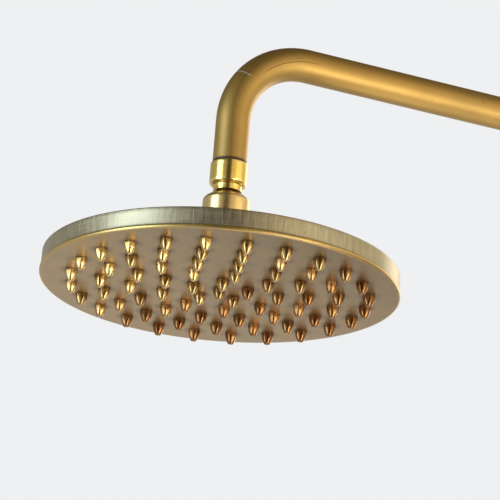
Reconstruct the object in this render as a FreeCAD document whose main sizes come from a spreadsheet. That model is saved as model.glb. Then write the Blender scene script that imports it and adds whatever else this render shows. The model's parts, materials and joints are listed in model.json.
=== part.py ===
# Rainfall shower column in antique brass: an 8 inch rain head on a ball joint, an overhead arm that
# swivels on a rigid riser, one wall bracket, and a union nut at the foot for the valve below.
#
# Frame: millimetres, +Z up. The wall is the plane Y = 0, the room is on the -Y side, and the origin
# is the centre of the wall bracket's back face.
import FreeCAD, Part
import math
import os
from types import SimpleNamespace
import Sketcher

driving = {
    # layout
    "stand_off": 60.0,        # wall to riser axis
    "reach": 380.0,           # riser axis to head axis
    "arm_height": 220.0,      # bracket centre up to the arm's centre line
    "head_drop": 146.0,       # arm's centre line down to the spray face
    "foot_drop": 540.0,       # bracket centre down to the riser's lower end
    "riser_leg": 60.0,        # straight part of the arm above the coupling
    # tube and threads
    "tube_radius": 9.8,
    "tube_wall": 1.17,
    "bend_radius": 44.0,      # centre line of both bends
    "tail_length": 14.0,      # how far nipples and tails reach into a tube
    "waterway": 4.8,          # smallest bore through the turned pieces
    # rain head
    "head_radius": 101.6,     # an 8 inch head
    "rim_height": 12.3,
    "pan_wall": 1.2,
    "face_thickness": 1.6,
    "band_height": 2.2,       # rolled band between spray face and rim
    "band_step": 0.7,         # how far the band stands out beyond the rim
    "band_round": 1.3,
    "lip_width": 1.8,         # rolled edge that holds the cover
    "lip_thickness": 0.8,
    "head_turn": 2.0,         # degrees that the head stands round from square
    "cover_wall": 1.2,
    "cover_edge": 5.0,        # flat seat round the cover
    "crown_rise": 5.5,        # from the flat edge up to the hub
    "hub_step": 5.0,          # hub beyond its thread
    "hub_top": 28.0,
    "hub_round": 3.0,
    "seat_step": 2.0,         # hub's thread beyond the ball
    "seat_top": 37.0,
    "hub_wall": 3.5,          # between the hub's bore and its thread
    "gasket_height": 2.0,
    # nozzles
    "first_ring": 16.2,       # radius of the inner ring of nozzles
    "edge_margin": 17.6,      # outer ring of nozzles to the head's edge
    "nozzle_length": 6.3,
    "hex_corner": 3.2,        # centre to corner
    "hex_height": 1.6,
    "cone_radius": 2.75,
    "tip_radius": 1.1,
    "shank_radius": 2.0,
    "rivet_radius": 2.7,
    "rivet_height": 0.7,
    "feed_radius": 1.1,
    "feed_depth": 3.6,        # below the spray face
    "orifice_radius": 0.5,
    # ball joint, heights above the spray face
    "ball_radius": 10.0,
    "ball_sink": 1.6,         # ball below the hub's top face
    "liner_wall": 1.0,
    "ball_gap": 0.04,         # each side of a sliding liner
    "liner_low": 0.6,         # upper liner above the ball's centre
    "liner_short": 4.0,       # upper liner's top below the ball's top
    "seat_low": 3.0,          # lower liner below the ball's centre
    "seat_rise": 3.0,         # lower liner's foot above the ball's foot
    "collar_wall": 2.52,
    "collar_round": 4.0,
    "collar_lip": 3.5,        # collar above the liner's cavity
    "mouth_land": 0.6,        # flat between the collar's rounding and its mouth
    "neck_wall": 1.0,
    "neck_length": 2.5,       # ball's top up to the neck ring
    "neck_ring_height": 3.5,
    "neck_ring_land": 0.3,    # flat between neck ring and the upper collar's rounding
    "upper_collar_height": 13.6,
    "upper_collar_step": 0.9,  # upper collar beyond the tube
    "upper_collar_round": 2.1,
    "neck_slope": 0.5,        # under the neck ring
    "lip_clear": 0.5,         # liner to the edge of its cavity
    "tube_reveal": 0.3,       # dark joint between collar and tube
    "edge_chamfer": 0.7,
    "washer_height": 1.5,
    "thread_depth": 11.0,     # nipple's reach into the upper collar
    "restrictor_height": 3.0,
    "restrictor_bore": 3.0,
    # coupling between arm and riser
    "flange_step": 1.0,       # flange beyond the tube
    "flange_height": 2.5,
    "spigot_radius": 8.2,
    "running_gap": 0.05,
    "end_gap": 0.1,
    "spigot_length": 28.0,
    "groove_width": 2.2,
    "seal_section": 1.0,      # radius of a seal ring's cord
    "upper_groove": 7.0,      # flange down to each groove's middle
    "lower_groove": 14.0,
    "nut_step": 1.2,          # nut's thread beyond the flange
    "nut_wall": 1.6,
    "nut_lap": 9.5,           # nut's thread below the socket's top
    "nut_rise": 6.0,          # nut above the socket's top
    "tube_gap": 0.3,          # nut lip to tube
    "web": 2.5,
    "skirt_depth": 16.0,
    "soft_edge": 1.2,
    # wall bracket
    "clamp_wall": 4.7,
    "clamp_height": 24.0,
    "clamp_gap": 0.05,
    "clamp_round": 2.0,
    "boss_step": 1.5,         # clamp's boss beyond the stem
    "boss_reach": 4.5,        # clamp's boss behind the ring
    "stem_radius": 7.0,
    "bead_step": 2.0,         # bead beyond the stem
    "bead_width": 4.0,
    "tenon_radius": 4.0,
    "tenon_length": 5.0,
    "flange_disc": 32.0,
    "disc_thickness": 5.0,
    "disc_boss": 12.0,
    "disc_boss_top": 11.0,
    "fixing_margin": 9.0,     # screw holes' centres to the disc's edge
    "fixing_hole": 2.6,
    "fixing_sink": 4.9,
    "fixing_count": 3,
    "grub_radius": 2.5,
    "grub_key": 1.44,         # centre to corner of the hexagon key
    "grub_key_depth": 2.5,
    "grub_inset": 0.5,
    # foot union
    "foot_flange_step": 1.4,  # flange beyond the tube
    "foot_flange_height": 3.0,
    "foot_nut_wall": 2.94,    # thread to the hexagon's flat
    "foot_nut_height": 20.0,
    "foot_nut_lip": 3.5,
    "foot_thread_step": 0.86,  # female thread beyond the flange, which makes it G 3/4
    "foot_relief_step": 0.54,  # run-out above the thread
    "foot_washer_height": 2.0,
}
ring_counts = [5, 9, 14, 19, 24]  # nozzles in each ring, from the middle out

doc = FreeCAD.newDocument("shower_column")
sheet = doc.addObject("Spreadsheet::Sheet", "Sizes")
for row, (name, number) in enumerate(driving.items(), 1):
    sheet.set(f"A{row}", name)
    sheet.set(f"B{row}", str(number))
    sheet.setAlias(f"B{row}", name)
doc.recompute()


class Size:
    """A length with its value and the expression that ties it to the sheet."""

    def __init__(self, value, text):
        self.value = value
        self.text = text

    def join(self, other, sign, value):
        return Size(value, f"({self.text} {sign} {other.text})")

    def __add__(self, other):
        other = size(other)
        return self.join(other, "+", self.value + other.value)

    def __sub__(self, other):
        other = size(other)
        return self.join(other, "-", self.value - other.value)

    def __mul__(self, other):
        other = size(other)
        return self.join(other, "*", self.value * other.value)

    def __truediv__(self, other):
        other = size(other)
        return self.join(other, "/", self.value / other.value)

    def __neg__(self):
        return size(0) - self

    def root(self):
        return Size(math.sqrt(self.value), f"sqrt({self.text})")


def size(number):
    if isinstance(number, Size):
        return number
    return Size(float(number), str(number))


d = SimpleNamespace(**{name: Size(float(number), f"Sizes.{name}") for name, number in driving.items()})
zero = size(0)

# places that several pieces share
tube_bore = d.tube_radius - d.tube_wall
face_height = d.arm_height - d.head_drop
head_y = -(d.stand_off + d.reach)
riser_y = -d.stand_off
rim_radius = d.head_radius - d.band_step
cover_radius = rim_radius - d.pan_wall
cover_top = d.rim_height - d.lip_thickness
ring_pitch = (d.head_radius - d.edge_margin - d.first_ring) / (len(ring_counts) - 1)
seat_radius = d.ball_radius + d.seat_step
inlet_radius = seat_radius - d.hub_wall
hub_radius = seat_radius + d.hub_step
ball_centre = d.seat_top + d.ball_radius - d.ball_sink
seat_deep = d.ball_radius - d.seat_rise
liner_high = d.ball_radius - d.liner_short
cavity_radius = d.ball_radius + d.liner_wall + d.ball_gap * 2
cavity_high = liner_high + d.lip_clear
collar_radius = cavity_radius + d.collar_wall
mouth_radius = collar_radius - d.collar_round - d.mouth_land
collar_top = ball_centre + cavity_high + d.collar_lip
neck_radius = d.waterway + d.neck_wall
neck_ring_base = ball_centre + d.ball_radius + d.neck_length
upper_collar_base = neck_ring_base + d.neck_ring_height
upper_collar_top = upper_collar_base + d.upper_collar_height
upper_collar_radius = d.tube_radius + d.upper_collar_step
neck_ring_radius = upper_collar_radius - d.upper_collar_round - d.neck_ring_land
tube_start = upper_collar_top + d.tube_reveal
flange_radius = d.tube_radius + d.flange_step
nut_thread = flange_radius + d.nut_step
nut_radius = nut_thread + d.nut_wall
clamp_radius = d.tube_radius + d.clamp_wall
boss_end = clamp_radius + d.boss_reach
foot_flange_radius = d.tube_radius + d.foot_flange_step
foot_thread = foot_flange_radius + d.foot_thread_step
foot_nut_flat = foot_thread + d.foot_nut_wall
arm_end = d.arm_height - d.bend_radius - d.riser_leg
socket_top = arm_end - d.flange_height - d.end_gap
socket_height = d.spigot_length + d.end_gap + d.web + d.skirt_depth
riser_top = socket_top - socket_height + d.skirt_depth
sub_parts = []


def bind(thing, property_name, amount):
    thing.setExpression(property_name, size(amount).text)


def place(thing, x=0, y=0, z=0, axis=(0, 0, 1), angle=0):
    turn = FreeCAD.Rotation(FreeCAD.Vector(*axis), size(angle).value)
    base = FreeCAD.Vector(size(x).value, size(y).value, size(z).value)
    thing.Placement = FreeCAD.Placement(base, turn)
    for letter, amount in zip("xyz", (x, y, z)):
        bind(thing, f"Placement.Base.{letter}", amount)
    if isinstance(angle, Size):
        bind(thing, "Placement.Rotation.Angle", angle)


def new_body(label, **where):
    body = doc.addObject("PartDesign::Body", label)
    body.Label = label
    body.AllowCompound = True
    place(body, **where)
    sub_parts.append(body)
    return body


def origin_feature(body, role):
    return next(feature for feature in body.Origin.OriginFeatures if feature.Role == role)


def new_sketch(body, role):
    sketch = body.newObject("Sketcher::SketchObject", f"{body.Label}_sketch")
    sketch.AttachmentSupport = (origin_feature(body, role), [""])
    sketch.MapMode = "FlatFace"
    return sketch


def pin_point(sketch, geometry, end, x, y):
    for kind, axis, amount in (("DistanceX", -2, size(x)), ("DistanceY", -1, size(y))):
        if amount.text in ("0", "0.0"):
            sketch.addConstraint(Sketcher.Constraint("PointOnObject", geometry, end, axis))
        else:
            datum = Sketcher.Constraint(kind, -1, 1, geometry, end, amount.value)
            index = sketch.addConstraint(datum)
            sketch.setExpression(f"Constraints[{index}]", amount.text)


def toward(corner, other, radius):
    """The point on an axis-aligned side, a radius away from its corner."""
    x, y = size(corner[0]), size(corner[1])
    dx = size(other[0]).value - x.value
    dy = size(other[1]).value - y.value
    if abs(dx) > abs(dy):
        return (x + radius if dx > 0 else x - radius, y)
    return (x, y + radius if dy > 0 else y - radius)


def arc_between(start, end, radius, left):
    """The short arc of that radius, with its centre on the left or right of the way it runs."""
    first = FreeCAD.Vector(size(start[0]).value, size(start[1]).value, 0)
    last = FreeCAD.Vector(size(end[0]).value, size(end[1]).value, 0)
    chord = last - first
    side = FreeCAD.Vector(-chord.y, chord.x, 0).normalize() * (1 if left else -1)
    radius = size(radius).value
    depth = math.sqrt(max(radius ** 2 - chord.Length ** 2 / 4, 0))
    centre = (first + last) / 2 + side * depth
    begin, finish = (first, last) if left else (last, first)
    angles = [math.atan2(point.y - centre.y, point.x - centre.x) for point in (begin, finish)]
    circle = Part.Circle(centre, FreeCAD.Vector(0, 0, 1), radius)
    return Part.ArcOfCircle(circle, *angles)


def spread(corners):
    """Replaces each rounded corner by the two ends of its arc and the arc itself."""
    steps = []
    for index, corner in enumerate(corners):
        if corner[0] == "arc" or len(corner) == 2:
            steps.append(corner)
            continue
        radius = corner[2]
        start = toward(corner, corners[index - 1], radius)
        end = toward(corner, corners[(index + 1) % len(corners)], radius)
        in_x = size(corner[0]).value - start[0].value
        in_y = size(corner[1]).value - start[1].value
        out_x = end[0].value - size(corner[0]).value
        out_y = end[1].value - size(corner[1]).value
        steps += [start, ("arc", radius, in_x * out_y - in_y * out_x > 0), end]
    return steps


def draw(sketch, corners, closed=True):
    """Lines through the corners. A corner may have a third value, which rounds it, and an item
    ("arc", radius, left) between two corners joins them by an arc."""
    points = []
    arcs = {}
    for step in spread(corners):
        if step[0] == "arc":
            arcs[len(points) - 1] = step[1:]
        else:
            points.append(step)
    sides = list(zip(points, points[1:] + points[:1]))
    if not closed:
        sides.pop()
    joints = []
    for index, (start, end) in enumerate(sides):
        ends = (1, 2)
        if index in arcs:
            radius, left = arcs[index]
            geometry = sketch.addGeometry(arc_between(start, end, radius, left), False)
            number = sketch.addConstraint(Sketcher.Constraint("Radius", geometry, size(radius).value))
            sketch.setExpression(f"Constraints[{number}]", size(radius).text)
            ends = (1, 2) if left else (2, 1)
        else:
            flat = [FreeCAD.Vector(size(x).value, size(y).value, 0) for x, y in (start, end)]
            geometry = sketch.addGeometry(Part.LineSegment(*flat), False)
        pin_point(sketch, geometry, ends[0], *start)
        joints.append((geometry, ends))
    if not closed:
        pin_point(sketch, joints[-1][0], joints[-1][1][1], *points[-1])
    following = joints[1:] + (joints[:1] if closed else [])
    for (geometry, ends), (next_geometry, next_ends) in zip(joints, following):
        meeting = (geometry, ends[1], next_geometry, next_ends[0])
        sketch.addConstraint(Sketcher.Constraint("Coincident", *meeting))
    return sketch


def circle_on(sketch, radius, x=0, y=0):
    centre = FreeCAD.Vector(size(x).value, size(y).value, 0)
    circle = Part.Circle(centre, FreeCAD.Vector(0, 0, 1), size(radius).value)
    geometry = sketch.addGeometry(circle, False)
    pin_point(sketch, geometry, 3, x, y)
    number = sketch.addConstraint(Sketcher.Constraint("Radius", geometry, size(radius).value))
    sketch.setExpression(f"Constraints[{number}]", size(radius).text)
    return sketch


def turned(body, corners, kind="PartDesign::Revolution"):
    """A profile of (radius, height) corners, turned about the body's own Z axis."""
    sketch = draw(new_sketch(body, "XZ_Plane"), corners)
    feature = body.newObject(kind, f"{body.Label}_turned")
    feature.Profile = sketch
    feature.ReferenceAxis = (sketch, ["V_Axis"])
    feature.Angle = 360
    return feature


def primitive(body, kind, sizes, x=0, y=0, z=0, axis=(0, 0, 1), angle=0):
    """An additive or subtractive cylinder, cone or prism that stands on a point of the body."""
    feature = body.newObject(f"PartDesign::{kind}", f"{body.Label}_{kind}")
    feature.AttachmentSupport = (origin_feature(body, "XY_Plane"), [""])
    feature.MapMode = "FlatFace"
    turn = FreeCAD.Rotation(FreeCAD.Vector(*axis), angle)
    base = FreeCAD.Vector(size(x).value, size(y).value, size(z).value)
    feature.AttachmentOffset = FreeCAD.Placement(base, turn)
    for letter, amount in zip("xyz", (x, y, z)):
        bind(feature, f"AttachmentOffset.Base.{letter}", amount)
    for name, amount in sizes.items():
        bind(feature, name, amount)
    return feature


def round_about(body, features, count):
    """Repeats features evenly about the body's Z axis."""
    doc.recompute()
    pattern = body.newObject("PartDesign::PolarPattern", f"{body.Label}_pattern")
    pattern.Originals = features
    pattern.Axis = (origin_feature(body, "Z_Axis"), [""])
    pattern.Angle = 360
    if isinstance(count, Size):
        bind(pattern, "Occurrences", count)
    else:
        pattern.Occurrences = count
    body.Tip = pattern
    doc.recompute()
    return pattern


# ---- rain head: heights run up from the spray face, on the head's axis ----
at_head = {"y": head_y, "z": face_height, "angle": d.head_turn}


def ring_radius(ring):
    return d.first_ring + ring_pitch * (ring - 1)


def spray_pan():
    """Spray face and rim, with a rolled band between them and the rim's edge turned in over the cover."""
    body = new_body("spray_pan", **at_head)
    lip_radius = cover_radius - d.lip_width
    turned(body, [
        (0, 0),
        (d.head_radius, 0, d.band_round),
        (d.head_radius, d.band_height, d.band_step / 2),
        (rim_radius, d.band_height),
        (rim_radius, d.rim_height, d.lip_thickness / 2),
        (lip_radius, d.rim_height),
        (lip_radius, cover_top),
        (cover_radius, cover_top),
        (cover_radius, d.face_thickness),
        (0, d.face_thickness),
    ])
    drill = {"Radius": d.shank_radius, "Height": d.face_thickness}
    primitive(body, "SubtractiveCylinder", drill)
    for ring, count in enumerate(ring_counts, 1):
        hole = primitive(body, "SubtractiveCylinder", drill, y=-ring_radius(ring))
        round_about(body, [hole], count)


def nozzle(body, y):
    """One turned nozzle below the face: hexagon, cone, shank riveted inside, and its bore."""
    cone_height = d.nozzle_length - d.hex_height
    steps = [
        primitive(body, "AdditivePrism", {"Circumradius": d.hex_corner, "Height": d.hex_height},
                  y=y, z=-d.hex_height),
        primitive(body, "AdditiveCone",
                  {"Radius1": d.tip_radius, "Radius2": d.cone_radius, "Height": cone_height},
                  y=y, z=-d.nozzle_length),
        primitive(body, "AdditiveCylinder", {"Radius": d.shank_radius, "Height": d.face_thickness}, y=y),
        primitive(body, "AdditiveCylinder", {"Radius": d.rivet_radius, "Height": d.rivet_height},
                  y=y, z=d.face_thickness),
        primitive(body, "SubtractiveCylinder",
                  {"Radius": d.orifice_radius,
                   "Height": d.nozzle_length + d.face_thickness + d.rivet_height},
                  y=y, z=-d.nozzle_length),
        primitive(body, "SubtractiveCylinder",
                  {"Radius": d.feed_radius, "Height": d.feed_depth + d.face_thickness + d.rivet_height},
                  y=y, z=-d.feed_depth),
    ]
    return steps


def nozzles():
    nozzle(new_body("nozzle_centre", **at_head), zero)
    for ring, count in enumerate(ring_counts, 1):
        body = new_body(f"nozzle_ring_{ring}", **at_head)
        round_about(body, nozzle(body, -ring_radius(ring)), count)


def back_cover():
    """Crowned cover with the inlet hub, which carries the thread for the ball collar."""
    body = new_body("back_cover", **at_head)
    edge = cover_radius - d.cover_edge
    edge_low = cover_top - d.cover_wall
    crown = cover_top + d.crown_rise
    step = d.hub_top - crown
    turned(body, [
        (cover_radius, edge_low),
        (cover_radius, cover_top),
        (edge, cover_top),
        ("arc", crown_radius(edge, hub_radius), True),
        (hub_radius, crown),
        (hub_radius, crown + step, d.hub_round),
        (seat_radius, d.hub_top),
        (seat_radius, d.seat_top),
        (inlet_radius, d.seat_top),
        (inlet_radius, crown - d.cover_wall),
        ("arc", crown_radius(edge, inlet_radius), False),
        (edge, edge_low),
    ])


def crown_radius(outer, inner):
    """Radius of the arc that is level at the inner end and comes down by the crown's rise."""
    run = outer - inner
    return (run * run + d.crown_rise * d.crown_rise) / (d.crown_rise * 2)


def cover_gasket():
    body = new_body("cover_gasket", **at_head)
    low = cover_top - d.cover_wall - d.gasket_height
    turned(body, ring_profile(cover_radius - d.cover_edge, cover_radius, low, low + d.gasket_height))


def ring_profile(inner, outer, low, high):
    return [(inner, low), (outer, low), (outer, high), (inner, high)]


def flow_restrictor():
    """Disc held in the inlet under the ball's seat."""
    body = new_body("flow_restrictor", **at_head)
    high = d.seat_top - d.washer_height
    turned(body, ring_profile(d.restrictor_bore, inlet_radius, high - d.restrictor_height, high))


def on_sphere(radius, height):
    """Distance from the axis of a sphere's surface, at a height from its centre."""
    return (radius * radius - height * height).root()


def ball_collar():
    """Nut that holds the ball and its liners down on the hub, open at the top for the neck."""
    body = new_body("ball_collar", **at_head)
    thread_top = ball_centre - d.seat_low + d.lip_clear
    cavity_low = thread_top - ball_centre
    lip = on_sphere(cavity_radius, cavity_high)
    turned(body, [
        (seat_radius, d.hub_top),
        (collar_radius, d.hub_top, d.edge_chamfer),
        (collar_radius, collar_top, d.collar_round),
        (mouth_radius, collar_top),
        (lip, ball_centre + cavity_high),
        ("arc", cavity_radius, False),
        (on_sphere(cavity_radius, cavity_low), thread_top),
        (seat_radius, thread_top),
    ])


def liner_profile(low, high, inner_radius, outer_radius):
    """Slice of a spherical shell, between two heights from the ball's centre."""
    return [
        (on_sphere(inner_radius, low), ball_centre + low),
        (on_sphere(outer_radius, low), ball_centre + low),
        ("arc", outer_radius, True),
        (on_sphere(outer_radius, high), ball_centre + high),
        (on_sphere(inner_radius, high), ball_centre + high),
        ("arc", inner_radius, False),
    ]


def ball_liners():
    inner = d.ball_radius + d.ball_gap
    upper = new_body("upper_liner", **at_head)
    turned(upper, liner_profile(d.liner_low, liner_high, inner, inner + d.liner_wall))
    lower = new_body("lower_liner", **at_head)
    outer = seat_radius - d.tube_gap
    low = ball_centre - seat_deep
    high = ball_centre - d.seat_low
    turned(lower, [
        (on_sphere(inner, seat_deep), low),
        (outer, low),
        (outer, high),
        (on_sphere(inner, d.seat_low), high),
        ("arc", inner, False),
    ])


def seat_washer():
    """Soft ring between the hub and the lower liner, which keeps the ball tight."""
    body = new_body("seat_washer", **at_head)
    high = ball_centre - seat_deep - d.end_gap
    turned(body, ring_profile(inlet_radius, seat_radius - d.tube_gap, d.seat_top, high))


# ---- overhead arm: the ball stem at its end, the tube, and the spigot in the riser's socket ----
def ball_stem():
    body = new_body("ball_stem", y=head_y, z=face_height)
    ball_top = on_sphere(d.ball_radius, neck_radius)
    ball_low = on_sphere(d.ball_radius, d.waterway)
    socket_floor = upper_collar_top - d.thread_depth - d.washer_height
    collar = upper_collar_radius
    turned(body, [
        (d.waterway, ball_centre - ball_low),
        ("arc", d.ball_radius, True),
        (neck_radius, ball_centre + ball_top),
        (neck_radius, neck_ring_base - d.neck_slope),
        (neck_ring_radius, neck_ring_base),
        (neck_ring_radius, upper_collar_base),
        (collar, upper_collar_base, d.upper_collar_round),
        (collar, upper_collar_top - d.edge_chamfer),
        (collar - d.edge_chamfer, upper_collar_top),
        (tube_bore, upper_collar_top),
        (tube_bore, socket_floor),
        (d.waterway, socket_floor),
    ])


def inlet_washer():
    """Flat washer under the nipple, inside the upper collar."""
    body = new_body("inlet_washer", y=head_y, z=face_height)
    low = upper_collar_top - d.thread_depth - d.washer_height
    turned(body, ring_profile(d.waterway, tube_bore - d.tube_gap, low, low + d.washer_height))


def arm_nipple():
    """Threaded nipple, half in the upper collar and half brazed into the tube."""
    body = new_body("arm_nipple", y=head_y, z=face_height)
    turned(body, ring_profile(d.waterway, tube_bore, upper_collar_top - d.thread_depth,
                              tube_start + d.tail_length))


def overhead_arm():
    """Bent tube. It is drawn from the riser's axis out to the head's axis, down at both ends."""
    body = new_body("overhead_arm", y=riser_y, z=arm_end, angle=size(180))
    top = d.arm_height - arm_end
    head_end = face_height + tube_start - arm_end
    path = draw(new_sketch(body, "YZ_Plane"), [
        (0, 0),
        (0, top, d.bend_radius),
        (d.reach, top, d.bend_radius),
        (d.reach, head_end),
    ], closed=False)
    section = circle_on(new_sketch(body, "XY_Plane"), d.tube_radius)
    circle_on(section, tube_bore)
    pipe = body.newObject("PartDesign::AdditivePipe", "overhead_arm_pipe")
    pipe.Profile = section
    pipe.Spine = (path, [f"Edge{number}" for number in range(1, len(path.Geometry) + 1)])


def swivel_spigot():
    """Tail in the arm, flange under the socket's nut, and a running spigot with two seal grooves."""
    body = new_body("swivel_spigot", y=riser_y, z=arm_end - d.flange_height - d.spigot_length)
    flange_low = d.spigot_length
    flange_top = flange_low + d.flange_height
    corners = [
        (d.waterway, 0),
        (d.spigot_radius, 0, d.edge_chamfer),
    ]
    for depth in (d.lower_groove, d.upper_groove):
        low = flange_low - depth - d.groove_width / 2
        high = low + d.groove_width
        floor = d.spigot_radius - d.seal_section * 2
        corners += [(d.spigot_radius, low), (floor, low), (floor, high), (d.spigot_radius, high)]
    corners += [
        (d.spigot_radius, flange_low),
        (flange_radius, flange_low),
        (flange_radius, flange_top),
        (tube_bore, flange_top),
        (tube_bore, flange_top + d.tail_length),
        (d.waterway, flange_top + d.tail_length),
    ]
    turned(body, corners)


def spigot_seals():
    """The two seal rings of the spigot."""
    for name, depth in (("upper", d.upper_groove), ("lower", d.lower_groove)):
        body = new_body(f"spigot_seal_{name}", y=riser_y, z=arm_end - d.flange_height - depth)
        sketch = circle_on(new_sketch(body, "XZ_Plane"), d.seal_section, x=d.spigot_radius - d.seal_section)
        ring = body.newObject("PartDesign::Revolution", f"{body.Label}_turned")
        ring.Profile = sketch
        ring.ReferenceAxis = (sketch, ["V_Axis"])
        ring.Angle = 360


# ---- riser: socket and nut at the top, tube, wall bracket, and the union at the foot ----
def riser_socket():
    """Socket that the spigot turns in, brazed over the riser's upper end."""
    body = new_body("riser_socket", y=riser_y, z=socket_top - socket_height)
    bore = d.spigot_radius + d.running_gap
    neck = socket_height - d.nut_lap
    turned(body, [
        (d.tube_radius, 0),
        (nut_radius, 0, d.collar_round / 2),
        (nut_radius, neck - d.end_gap, d.soft_edge / 2),
        (nut_thread, neck - d.end_gap),
        (nut_thread, socket_height),
        (bore, socket_height),
        (bore, d.skirt_depth + d.web),
        (d.waterway, d.skirt_depth + d.web),
        (d.waterway, d.skirt_depth),
        (d.tube_radius, d.skirt_depth),
    ])


def swivel_nut():
    """Nut on the socket, whose lip keeps the spigot's flange down and lets it turn."""
    body = new_body("swivel_nut", y=riser_y, z=socket_top - d.nut_lap)
    room = d.nut_lap + d.end_gap + d.flange_height + d.end_gap
    top = d.nut_lap + d.nut_rise
    turned(body, [
        (nut_thread, 0),
        (nut_radius, 0, d.soft_edge / 2),
        (nut_radius, top, d.nut_rise / 2),
        (d.tube_radius + d.tube_gap, top),
        (d.tube_radius + d.tube_gap, room),
        (nut_thread, room),
    ])


def riser_tube():
    length = riser_top + d.foot_drop
    body = new_body("riser_tube", y=riser_y, z=-d.foot_drop)
    section = circle_on(new_sketch(body, "XY_Plane"), d.tube_radius)
    circle_on(section, tube_bore)
    pad = body.newObject("PartDesign::Pad", "riser_tube_pad")
    pad.Profile = section
    bind(pad, "Length", length)


def bracket_clamp():
    """Ring round the riser, with a boss at the back for the stem and a screw at the side."""
    half = d.clamp_height / 2
    body = new_body("bracket_clamp", y=riser_y, z=-half)
    bore = d.tube_radius + d.clamp_gap
    turned(body, [
        (bore, 0),
        (clamp_radius, 0, d.clamp_round),
        (clamp_radius, d.clamp_height, d.clamp_round),
        (bore, d.clamp_height),
    ])
    back = {"axis": (1, 0, 0), "angle": -90, "z": half}
    primitive(body, "AdditiveCylinder", {"Radius": d.stem_radius + d.boss_step, "Height": boss_end}, **back)
    primitive(body, "SubtractiveCylinder", {"Radius": bore, "Height": d.clamp_height})
    primitive(body, "SubtractiveCylinder", {"Radius": d.tenon_radius, "Height": d.tenon_length},
              y=boss_end - d.tenon_length, **back)
    primitive(body, "SubtractiveCylinder", {"Radius": d.grub_radius, "Height": clamp_radius},
              axis=(0, 1, 0), angle=90, z=half)


def bracket_screw():
    """Grub screw in the clamp's side, which bites on the riser."""
    body = new_body("bracket_screw", x=d.tube_radius, y=riser_y)
    length = clamp_radius - d.tube_radius - d.grub_inset
    along = {"axis": (0, 1, 0), "angle": 90}
    primitive(body, "AdditiveCylinder", {"Radius": d.grub_radius, "Height": length}, **along)
    primitive(body, "SubtractivePrism", {"Circumradius": d.grub_key, "Height": d.grub_key_depth},
              x=length - d.grub_key_depth, **along)


def bracket_stem():
    """Turned stem between flange and clamp, a tenon at each end and a bead at its middle."""
    body = new_body("bracket_stem", y=-(d.disc_boss_top - d.tenon_length), axis=(1, 0, 0), angle=90)
    front = d.stand_off - boss_end - d.disc_boss_top + d.tenon_length
    middle = (d.tenon_length + front) / 2
    bead_half = d.bead_width / 2
    bead_radius = d.stem_radius + d.bead_step
    turned(body, [
        (0, 0),
        (d.tenon_radius, 0),
        (d.tenon_radius, d.tenon_length),
        (d.stem_radius, d.tenon_length),
        (d.stem_radius, middle - bead_half),
        (bead_radius, middle - bead_half, d.soft_edge),
        (bead_radius, middle + bead_half, d.soft_edge),
        (d.stem_radius, middle + bead_half),
        (d.stem_radius, front),
        (d.tenon_radius, front),
        (d.tenon_radius, front + d.tenon_length),
        (0, front + d.tenon_length),
    ])


def bracket_flange():
    """Wall disc with three countersunk fixing holes and a boss for the stem."""
    body = new_body("bracket_flange", axis=(1, 0, 0), angle=90)
    floor = d.disc_boss_top - d.tenon_length
    turned(body, [
        (0, 0),
        (d.flange_disc, 0),
        (d.flange_disc, d.disc_thickness, d.soft_edge),
        (d.disc_boss, d.disc_thickness),
        (d.disc_boss, d.disc_boss_top, d.soft_edge),
        (d.tenon_radius, d.disc_boss_top),
        (d.tenon_radius, floor),
        (0, floor),
    ])
    sink_depth = d.fixing_sink - d.fixing_hole
    fixing_pitch = d.flange_disc - d.fixing_margin
    hole = primitive(body, "SubtractiveCylinder",
                     {"Radius": d.fixing_hole, "Height": d.disc_thickness}, y=fixing_pitch)
    sink = primitive(body, "SubtractiveCone",
                     {"Radius1": d.fixing_hole, "Radius2": d.fixing_sink, "Height": sink_depth},
                     y=fixing_pitch, z=d.disc_thickness - sink_depth)
    round_about(body, [hole, sink], d.fixing_count)


def riser_tail():
    """Tail brazed into the riser's foot, with the flange that the union nut pulls on."""
    body = new_body("riser_tail", y=riser_y, z=-(d.foot_drop + d.foot_flange_height))
    turned(body, [
        (d.waterway, 0),
        (foot_flange_radius, 0),
        (foot_flange_radius, d.foot_flange_height),
        (tube_bore, d.foot_flange_height),
        (tube_bore, d.foot_flange_height + d.tail_length),
        (d.waterway, d.foot_flange_height + d.tail_length),
    ])


def union_washer():
    body = new_body("union_washer", y=riser_y,
                    z=-(d.foot_drop + d.foot_flange_height + d.foot_washer_height))
    turned(body, ring_profile(d.waterway, foot_flange_radius, 0, d.foot_washer_height))


def union_nut():
    """Hexagon nut that hangs on the tail's flange, free to turn, with a female thread below."""
    body = new_body("union_nut", y=riser_y, z=-(d.foot_drop + d.foot_nut_height - d.foot_nut_lip))
    corner = foot_nut_flat / size(math.sqrt(0.75))
    ledge = d.foot_nut_height - d.foot_nut_lip + d.end_gap
    thread_end = d.foot_nut_height - d.foot_nut_lip - d.foot_flange_height - d.foot_washer_height
    primitive(body, "AdditivePrism", {"Circumradius": corner, "Height": d.foot_nut_height})
    doc.recompute()
    bore = [
        (0, 0),
        (foot_thread, 0),
        (foot_thread, thread_end),
        (foot_thread + d.foot_relief_step, thread_end),
        (foot_thread + d.foot_relief_step, ledge),
        (d.tube_radius + d.tube_gap, ledge),
        (d.tube_radius + d.tube_gap, d.foot_nut_height),
        (0, d.foot_nut_height),
    ]
    turned(body, bore, "PartDesign::Groove")
    fall = d.soft_edge
    beyond = corner + d.soft_edge
    for edge, inward in ((zero, zero + fall), (d.foot_nut_height, d.foot_nut_height - fall)):
        doc.recompute()
        turned(body, [(foot_nut_flat, edge), (beyond, edge), (beyond, inward)], "PartDesign::Groove")


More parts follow.
